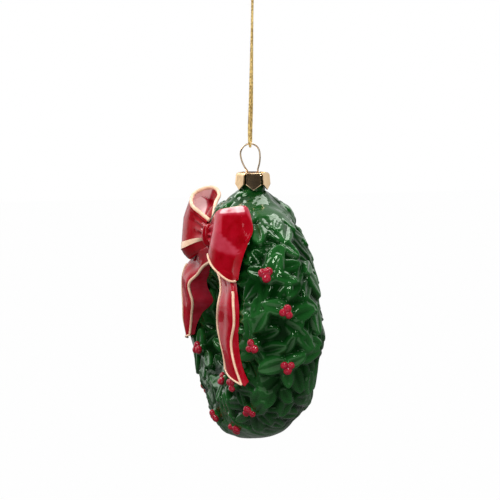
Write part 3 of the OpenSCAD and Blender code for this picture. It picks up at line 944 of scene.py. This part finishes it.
TAIL_INNER = [
    (-1, 0.6, -7), (9, 0, -11), (13.5, -1, -15), (17, -3.2, -19.5), (14.5, -2.6, -26.5), (16.5, -2.3, -32),
    (19, -1.9, -37), (20.5, -1.9, -41.5),
]
TAIL_RIDGE = [
    (-1, -1.6, -1.8), (14, -2, -6.5), (24, -0.8, -10.5), (28.5, -1.8, -17), (29.5, -1.9, -23.5),
    (27.5, -2.2, -30.5), (29.5, -1.9, -37), (32.5, -0.4, -44),
]
TAIL_FOOT = [
    (-1, -0.3, -1), (15, -0.6, -5.5), (27, 0, -9.5), (31.5, 0, -16.5), (33, -0.2, -23.5), (33.5, -0.2, -31),
    (33, 0, -38), (34, 1, -44.5),
]
# A loop's places run from 0 at the knot to 4 at its far end and to 8 behind the knot
LOOP_FAR = 4
LOOP_END = 8
LOOP_PLACES = np.linspace(0, LOOP_END, 129)
INSIDE_TOP_LEVEL = 0.99
RIM_IN = 0.75
CLOSING_ROOM = 3
UNDER_SWELL = {LEFT: -1.5, RIGHT: 0.8}
FLOOR_SWELL = -0.8
PLEATS = 3.5
PLEAT_SHIFT = 0.15
PLEAT_DEPTH = 0.55
PLEAT_START = 2
PLEAT_FADE = 5.5
# Places along a loop between which its inside is painted pale pink as a painted reflection
REFLECTION_PAINT_START = 0.6
REFLECTION_PAINT_END = 5.4
# Shares of paler paint on the right loop: a painted highlight along its top and painted sheen on its sides
# and fold
TOP_PAINTED_HIGHLIGHT = 0.62
FAR_PAINTED_SHEEN = 0.35
NEAR_PAINTED_SHEEN = 0.3
FOLD_PAINTED_SHEEN = 0.35
MOUTH_EDGE_R = 0.7
MOUTH_EDGE_IN = 0.55
MOUTH_EDGE_UP = 0.05
BAND_ROWS = 4
BAND_PAST_FAR = 6
BAND_OUT = 0.16
LOW_EDGE_R = 0.4
LOW_EDGE_START = 30
LOW_EDGE_PAST_FAR = 10
LOW_EDGE_OUT = 0.1
EDGE_SIDES = 12
THIN_EDGE_SIDES = 10
# A tail's places run from 0 under the knot to 7 at its cut end
TAIL_END = 7
TAIL_PLACES = np.linspace(0, TAIL_END, 99)
# Width of a tail's outer slope along it, as a share of that of the part's source
TAIL_SLOPE = [1, 0.7, 0.4, 0.35, 0.4, 0.5, 0.6, 0.6]
SLOPE_ROWS = 8
FACE_ROWS = 16
WALL_ROWS = 6
FOOT_WALL_UP = 1.5
WALL_INTO_RING = 0.6
WALL_LEAST = 0.3
SWELL_LENGTH = 3.5
FACE_FOLDS = 3
FACE_FOLD_DEPTH = 0.28
# Paler paint on the tails: painted light that lifts the shade on the side walls, and a painted sheen on the
# faces
SIDE_WALL_PAINTED_LIGHT = 0.25
TAIL_FACE_PAINTED_SHEEN = 0.1
LEFT_NOTCH = (-1, 2, 0)
NOTCH_PLACE = 1.6
END_SHARES = (0, 0.6, 0.98)
TAIL_EDGE_R = 0.56
TAIL_EDGE_THINNING = 0.25
TAIL_EDGE_OUT = (0, -0.15, 0)
CUT_EDGE_R = 0.36
RIDGE_EDGE_FROM = 2.4
WRAP_ROWS = 41
WRAP_COLUMNS = 96
WRAP_HEIGHT = 8.4
WRAP_Z = 2.2
WRAP_R = 3.3
WRAP_END_R = 2.2
WRAP_FULLNESS = 0.8
WRAP_END_BLUNT = 10
WRAP_END_LEAST = 0.02
WRAP_FOLDS = 9
WRAP_FOLD_DEPTH = 0.055
WRAP_FOLD_FADE = 0.4
WRAP_TWIST = 1.5
WRAP_OUT = 0.1


def placed(points, side):
    """Points of the right half of the bow, on the right or the left side of the ornament."""
    x, y, z = np.moveaxis(np.asarray(points, float), -1, 0)
    slanted = np.stack((side * x, y + side * BOW_BACK * x, z - side * BOW_SAG * x), axis=-1)
    return slanted + BOW_MIDDLE


def seated(points, side, seat=BOW_SEAT):
    """Placed points of the bow, lifted to the wreath's surface where they are under it."""
    local = placed(points, side) - RING_MIDDLE
    reach = np.hypot(local[..., 0], local[..., 2])
    middle = np.stack((
        local[..., 0] / reach * RING_R, np.zeros_like(reach), local[..., 2] / reach * RING_R
    ), axis=-1)
    out = local - middle
    far = np.linalg.norm(out, axis=-1, keepdims=True)
    return RING_MIDDLE + middle + out / far * np.maximum(far, seat)


def loop_at(places, level, side):
    """A line along a loop: level 0 is the low edge, 0.5 the crease along its middle and 1 the top edge."""
    low, middle, top = (spline(edge, places) for edge in LOOP_EDGES[side])
    curved = low * (1 - level) * (1 - 2 * level) + middle * 4 * level * (1 - level)
    curved = curved + top * level * (2 * level - 1)
    start, stop = (low, middle) if level < 0.5 else (middle, top)
    straight = start + (stop - start) * (2 * level % 1 if level < 1 else 1)
    return curved + (straight - curved) * LOOP_CREASE


def loop_inside(places, level, side):
    along = np.minimum(np.minimum(places, LOOP_END - places), HOLLOW_REACH * LOOP_FAR)
    here = loop_at(places, level, side)
    front, back = loop_at(along, level, side), loop_at(LOOP_END - along, level, side)
    wall = np.minimum(RIBBON_WALL[side], RIBBON_SHARE * np.linalg.norm(front - back, axis=1))
    return here + unit((front + back) / 2 - here) * wall[:, None]


def hollow_foot(side):
    """The line where the inside of a loop meets its floor, which rises to the loop's far end."""
    low, high = (loop_inside(LOOP_PLACES, level, side) for level in (HOLLOW_LEVEL, HOLLOW_END_LEVEL))
    return low + (high - low) * ease(1 - np.abs(LOOP_PLACES - LOOP_FAR) / HOLLOW_END_REACH)[:, None]


def right_painted_sheen(level):
    """Painted highlight along the right loop's top, and painted sheen on its two sides and over a fold across
    its lower half, as paler paint.
    """
    places = LOOP_PLACES
    top = TOP_PAINTED_HIGHLIGHT * above(level, 0.84, 0.06) * above(places, 2, 0.5) * above(places, 4.6, -0.4)
    far_start = 4.1 + 2.7 * (0.95 - level)
    far_side = FAR_PAINTED_SHEEN * above(places, far_start, 0.2) * above(level, 0.3, 0.1)
    near_side = NEAR_PAINTED_SHEEN * above(places, 3.6 - level, -0.2) * above(level, 0.45, 0.1)
    fold_top = 0.51 - 0.13 * (places - 3)
    fold_low = 0.19 + 0.045 * (places - 2.5)
    fold = FOLD_PAINTED_SHEEN * above(level, fold_top, -0.03) * above(level, fold_low, 0.08)
    fold = fold * above(places, 4.7, -0.3)
    return np.maximum.reduce((top, far_side, near_side, fold))


def loop_folds(points, levels):
    """Pleats that run out from the knot and fade along the ribbon."""
    away = np.clip(points[..., 0], 0, None)
    fade = np.exp(-((away - PLEAT_START) / PLEAT_FADE) ** 2)
    wave = np.cos(2 * pi * (PLEATS * levels[:, None] + PLEAT_SHIFT))
    front = LOOP_PLACES < LOOP_FAR
    moved = points.copy()
    moved[..., 1] += PLEAT_DEPTH * fade * wave * front
    return moved


def closing(front, back, hollow):
    """A sheet between two lines that start and end together, drawn in by a hollow."""
    shares = np.linspace(0, 1, 9)[:, None, None]
    points = front + (back - front) * shares
    room = np.minimum(1, np.linalg.norm(back - front, axis=1) / CLOSING_ROOM)
    points[..., 2] += hollow * np.sin(pi * shares[..., 0]) * room
    return points


def add_loop(name, side, node):
    levels = np.linspace(0, RIM_LEVEL[side], 27)
    outer = loop_folds(np.array([loop_at(LOOP_PLACES, level, side) for level in levels]), levels)
    inside_top = loop_inside(LOOP_PLACES, INSIDE_TOP_LEVEL, side)
    inside_drop = hollow_foot(side) - inside_top
    inner = inside_top + inside_drop * np.linspace(0, 1, 16)[:, None, None]
    top = loop_at(LOOP_PLACES, 1, side)
    inward = (inner[0] - top) * RIM_IN
    upward = top - outer[-1]
    turn = np.linspace(0, pi / 2, 7)[:, None, None]
    rim = np.concatenate((outer[-1] + inward * (1 - np.cos(turn)) + upward * np.sin(turn), inner[:1]))
    half = len(LOOP_PLACES) // 2
    under = closing(outer[0, : half + 1], outer[0, half:][::-1], UNDER_SWELL[side])
    floor = closing(inner[-1, : half + 1], inner[-1, half:][::-1], FLOOR_SWELL)
    # Painted reflection: the inside of the loop and the front of its floor are painted pale pink
    lining_painted_reflection = above(LOOP_PLACES, REFLECTION_PAINT_START, 0.5) * above(LOOP_PLACES, REFLECTION_PAINT_END, -0.8)
    floor_painted_reflection = lining_painted_reflection[: half + 1] * above(np.linspace(0, 1, len(floor)), 1, -0.3)[:, None]
    rim_painted_sheen = np.zeros(rim.shape[:2])
    loop_painted_sheen = np.zeros(outer.shape[:2])
    # The right loop gets a painted highlight and painted sheen in its paint
    if side == RIGHT:
        loop_painted_sheen = np.array([right_painted_sheen(level) for level in levels])
        rim_painted_sheen = np.tile(right_painted_sheen(1), (len(rim), 1))
    painted = [
        (inner, np.tile(lining_painted_reflection, (len(inner), 1))), (outer, loop_painted_sheen), (rim, rim_painted_sheen),
        (under, np.zeros(under.shape[:2])), (floor, floor_painted_reflection),
    ]
    mesh = joined(*(sheet(seated(surface, side)) for surface, _ in painted))
    loop = add_piece(name, mesh, RED, "wreath", [node])
    add_rise(loop, np.concatenate([shares.ravel() for _, shares in painted]))
    sewn(loop)
    if side == LEFT:
        mouth = top + (inner[0] - top) * MOUTH_EDGE_IN + (0, 0, MOUTH_EDGE_UP)
        band = outer[:BAND_ROWS, : half + BAND_PAST_FAR] + (0, -BAND_OUT, 0)
        edges = [tube(seated(mouth, side), MOUTH_EDGE_R, EDGE_SIDES), sheet(seated(band, side))]
    else:
        low = outer[0, LOW_EDGE_START : half + LOW_EDGE_PAST_FAR] + (0, -LOW_EDGE_OUT, 0)
        edges = [
            tube(seated(inner[1], side), LOW_EDGE_R, EDGE_SIDES),
            tube(seated(low, side), LOW_EDGE_R, THIN_EDGE_SIDES),
        ]
    add_piece(name + "_edge", joined(*edges), CREAM, "wreath")


def wall_to_ring(line, side):
    """Where a line meets the ring when it goes straight back, or a set way back beside the ring."""
    points = placed(line, side)
    reach = np.hypot(points[:, 0], points[:, 2] - RING_Z) - RING_R
    front = -np.sqrt(np.maximum(BOW_SEAT ** 2 - reach ** 2, 0))
    nearest, furthest = points[:, 1] + WALL_LEAST, points[:, 1] + TAIL_BACK
    points[:, 1] = np.clip(front + WALL_INTO_RING, nearest, furthest)
    return points


def add_tail(name, side, node):
    share = LEFT_TAIL_SHARE if side == LEFT else 1
    size = np.array((share, 1, share))
    inner, ridge, foot = (spline(edge, TAIL_PLACES) * size for edge in (TAIL_INNER, TAIL_RIDGE, TAIL_FOOT))
    if side == LEFT:
        narrowing = LEFT_TAIL_TAPER * np.clip((TAIL_PLACES - TAPER_FROM) / (TAPER_TO - TAPER_FROM), 0, 1)
        inner = inner + narrowing[:, None] * (1, TAPER_BACK, 0)
        ridge = ridge + above(TAIL_PLACES, TAPER_TO, TAIL_END - TAPER_TO)[:, None] * (0, RIDGE_BACK, 0)
        notch = ease(1 - np.abs(TAIL_PLACES - NOTCH_PLACE))[:, None] * LEFT_NOTCH
        ridge = ridge + notch
        foot = foot + notch
    foot = ridge + (foot - ridge) * np.interp(TAIL_PLACES, range(len(TAIL_SLOPE)), TAIL_SLOPE)[:, None]
    foot_wall = wall_to_ring(foot + (0, 0, FOOT_WALL_UP), side)
    lines = [foot + (ridge - foot) * step for step in np.linspace(0, 1, SLOPE_ROWS)]
    fold_along = np.sin(pi * TAIL_PLACES / TAIL_END)
    for step in np.linspace(0, 1, FACE_ROWS + 1)[1:]:
        fold = FACE_FOLD_DEPTH * sin(FACE_FOLDS * pi * step) * fold_along
        line = ridge + (inner - ridge) * step
        line[:, 1] -= TAIL_SWELL * sin(pi * step) * ease(TAIL_PLACES / SWELL_LENGTH) + fold
        lines.append(line)
    slope_seats = np.linspace(FOOT_SEAT, TAIL_SEAT, SLOPE_ROWS)
    seats = np.concatenate((slope_seats, np.full(FACE_ROWS, TAIL_SEAT)))
    face = seated(np.array(lines), side, seats[:, None, None])
    inner_wall = wall_to_ring(inner, side)
    steps = np.linspace(0, 1, WALL_ROWS + 1)[1:]
    side_wall = np.array([face[-1] + (inner_wall - face[-1]) * step for step in steps])
    points = np.concatenate((foot_wall[None], face, side_wall))
    end = points[:, -1]
    middle = end[SLOPE_ROWS + 1 :].mean(axis=0)
    cap = np.array([end + (middle - end) * step for step in END_SHARES])
    tail = add_piece(name, joined(sheet(points), sheet(cap)), RED, "wreath", [node])
    # Painted light on the tail: its face and side walls are painted paler
    tail_painted_light = np.concatenate((np.full(1 + len(face), TAIL_FACE_PAINTED_SHEEN), np.full(WALL_ROWS, SIDE_WALL_PAINTED_LIGHT)))
    add_rise(tail, np.concatenate((np.repeat(tail_painted_light, len(TAIL_PLACES)), np.zeros(cap.size // 3))))
    sewn(tail)
    width = TAIL_EDGE_R * (1 - TAIL_EDGE_THINNING * TAIL_PLACES / TAIL_END)
    cut = np.array(lines)[SLOPE_ROWS - 1 :, -1]
    shown = TAIL_PLACES > RIDGE_EDGE_FROM
    inner_edge, ridge_edge = inner + TAIL_EDGE_OUT, ridge + TAIL_EDGE_OUT
    edges = [(inner_edge, width), (ridge_edge[shown], width[shown]), (cut, CUT_EDGE_R)]
    bars = [tube(seated(line, side, TAIL_SEAT), r, THIN_EDGE_SIDES) for line, r in edges]
    add_piece(name + "_edge", joined(*bars), CREAM, "wreath")


def add_knot():
    """The wrap of ribbon round the middle of the bow, gathered into upright folds."""
    share = np.linspace(-1, 1, WRAP_ROWS)[:, None]
    angle = full_turn(WRAP_COLUMNS)[None, :]
    swell = WRAP_END_R + (WRAP_R - WRAP_END_R) * np.cos(share * pi / 2) ** WRAP_FULLNESS
    swell = swell * np.sqrt(np.maximum(1 - share ** WRAP_END_BLUNT, WRAP_END_LEAST))
    fold = np.cos(WRAP_FOLDS * angle + WRAP_TWIST * share) * (1 - WRAP_FOLD_FADE * share ** 2)
    r = swell * (1 + WRAP_FOLD_DEPTH * fold)
    z = WRAP_Z + WRAP_HEIGHT / 2 * share + 0 * angle
    points = np.stack((r * np.cos(angle), r * np.sin(angle) - WRAP_OUT, z), axis=-1) + BOW_MIDDLE
    faces = grid_faces(WRAP_ROWS, WRAP_COLUMNS, close_columns=True)
    faces += end_fans(WRAP_ROWS * WRAP_COLUMNS, WRAP_COLUMNS)
    ends = np.stack((points[0].mean(axis=0), points[-1].mean(axis=0)))
    mesh = (np.concatenate((points.reshape(-1, 3), ends)), turned(faces))
    add_piece("red_bow_knot", mesh, RED, "wreath", ["bow_knot"])


add_loop("red_loop_right", RIGHT, "bow_loop_right")
add_loop("red_loop_left", LEFT, "bow_loop_left")
add_tail("red_tail_right", RIGHT, "bow_tail_right")
add_tail("red_tail_left", LEFT, "bow_tail_left")
add_knot()

# Studio: a plain floor, soft boxes and a white surround

LIGHT_AIM = (0, 0, -0.11)
FLOOR_Z = -0.42
FLOOR_HALF = 4.0
FLOOR_GREY = 0.12
FLOOR_ROUGHNESS = 0.9
FLOOR_SHINE = 0.1
# Share of white in the floor that the camera sees
FLOOR_WHITE = 0.99
ROOM_LIGHT = 1.0
# What reflections see on the camera's side and on the far side
NEAR_SIDE = 0.045
FAR_SIDE = 0.8
FAR_SIDE_FROM = 0.35


def add_floor():
    """A floor that looks white to the camera and grey to the rest."""
    corners = [(-1, -1), (1, -1), (1, 1), (-1, 1)]
    data = bpy.data.meshes.new("floor")
    data.from_pydata([(x * FLOOR_HALF, y * FLOOR_HALF, FLOOR_Z) for x, y in corners], [], [(0, 1, 2, 3)])
    material, nodes, links, bsdf = new_material("pale_floor")
    set_input(bsdf, "Base Color", (*grey(FLOOR_GREY), 1))
    set_input(bsdf, "Roughness", FLOOR_ROUGHNESS)
    set_input(bsdf, "Specular IOR Level", FLOOR_SHINE)
    path = nodes.new("ShaderNodeLightPath")
    seen = nodes.new("ShaderNodeMath")
    seen.operation = "MULTIPLY"
    set_input(seen, 1, FLOOR_WHITE)
    white = nodes.new("ShaderNodeEmission")
    mixed = nodes.new("ShaderNodeMixShader")
    links.new(path.outputs["Is Camera Ray"], seen.inputs[0])
    links.new(seen.outputs["Value"], mixed.inputs["Fac"])
    links.new(bsdf.outputs["BSDF"], mixed.inputs[1])
    links.new(white.outputs["Emission"], mixed.inputs[2])
    links.new(mixed.outputs["Shader"], nodes["Material Output"].inputs["Surface"])
    data.materials.append(material)
    floor = bpy.data.objects.new("floor", data)
    bpy.context.scene.collection.objects.link(floor)


def add_world():
    """White for the camera, dark for reflections on the camera's side, and an even light for the rest."""
    world = bpy.data.worlds.new("studio")
    world.use_nodes = True
    bpy.context.scene.world = world
    nodes, links = world.node_tree.nodes, world.node_tree.links
    background = nodes["Background"]
    set_input(background, "Color", (1, 1, 1, 1))
    place = nodes.new("ShaderNodeTexCoord")
    facing = nodes.new("ShaderNodeVectorMath")
    facing.operation = "DOT_PRODUCT"
    set_input(facing, 1, (-sin(VIEW_TURN), cos(VIEW_TURN), 0))
    links.new(place.outputs["Generated"], facing.inputs[0])
    room_stops = [(0.0, grey(NEAR_SIDE)), (FAR_SIDE_FROM, grey(FAR_SIDE))]
    room = ramp(nodes, links, facing.outputs["Value"], room_stops)
    path = nodes.new("ShaderNodeLightPath")
    glossy = nodes.new("ShaderNodeMath")
    glossy.operation = "MAXIMUM"
    links.new(path.outputs["Is Glossy Ray"], glossy.inputs[0])
    links.new(path.outputs["Is Transmission Ray"], glossy.inputs[1])
    reflected = nodes.new("ShaderNodeMix")
    set_input(reflected, "A", ROOM_LIGHT)
    links.new(glossy.outputs["Value"], reflected.inputs["Factor"])
    links.new(room, reflected.inputs["B"])
    seen = nodes.new("ShaderNodeMix")
    set_input(seen, "B", 1)
    links.new(path.outputs["Is Camera Ray"], seen.inputs["Factor"])
    links.new(reflected.outputs["Result"], seen.inputs["A"])
    links.new(seen.outputs["Result"], background.inputs["Strength"])


def add_softbox(name, place, size, power):
    lamp = bpy.data.lights.new(name, "AREA")
    lamp.shape = "RECTANGLE"
    lamp.size, lamp.size_y = size
    lamp.energy = power
    box = bpy.data.objects.new(name, lamp)
    box.location = place
    box.rotation_euler = (Vector(LIGHT_AIM) - Vector(place)).to_track_quat("-Z", "Y").to_euler()
    box.visible_camera = False
    bpy.context.scene.collection.objects.link(box)


add_floor()
add_world()
add_softbox("front_box", (0.14, -0.39, 0.45), (0.24, 0.24), 1.8)
add_softbox("low_box", (0.447, -0.145, -0.281), (0.9, 0.4), 0.95)
add_softbox("spark_box", (0.50, 0.07, 0.20), (0.08, 0.08), 0.55)
add_softbox("top_box", (-0.17, 0.29, 0.51), (0.35, 0.35), 2.2)
add_softbox("left_box", (-0.48, -0.26, 0.47), (0.3, 0.3), 2.0)
add_softbox("fill_box", (-0.75, -0.45, 0.10), (0.5, 0.9), 1.0)

bpy.context.scene.view_settings.view_transform = "Standard"
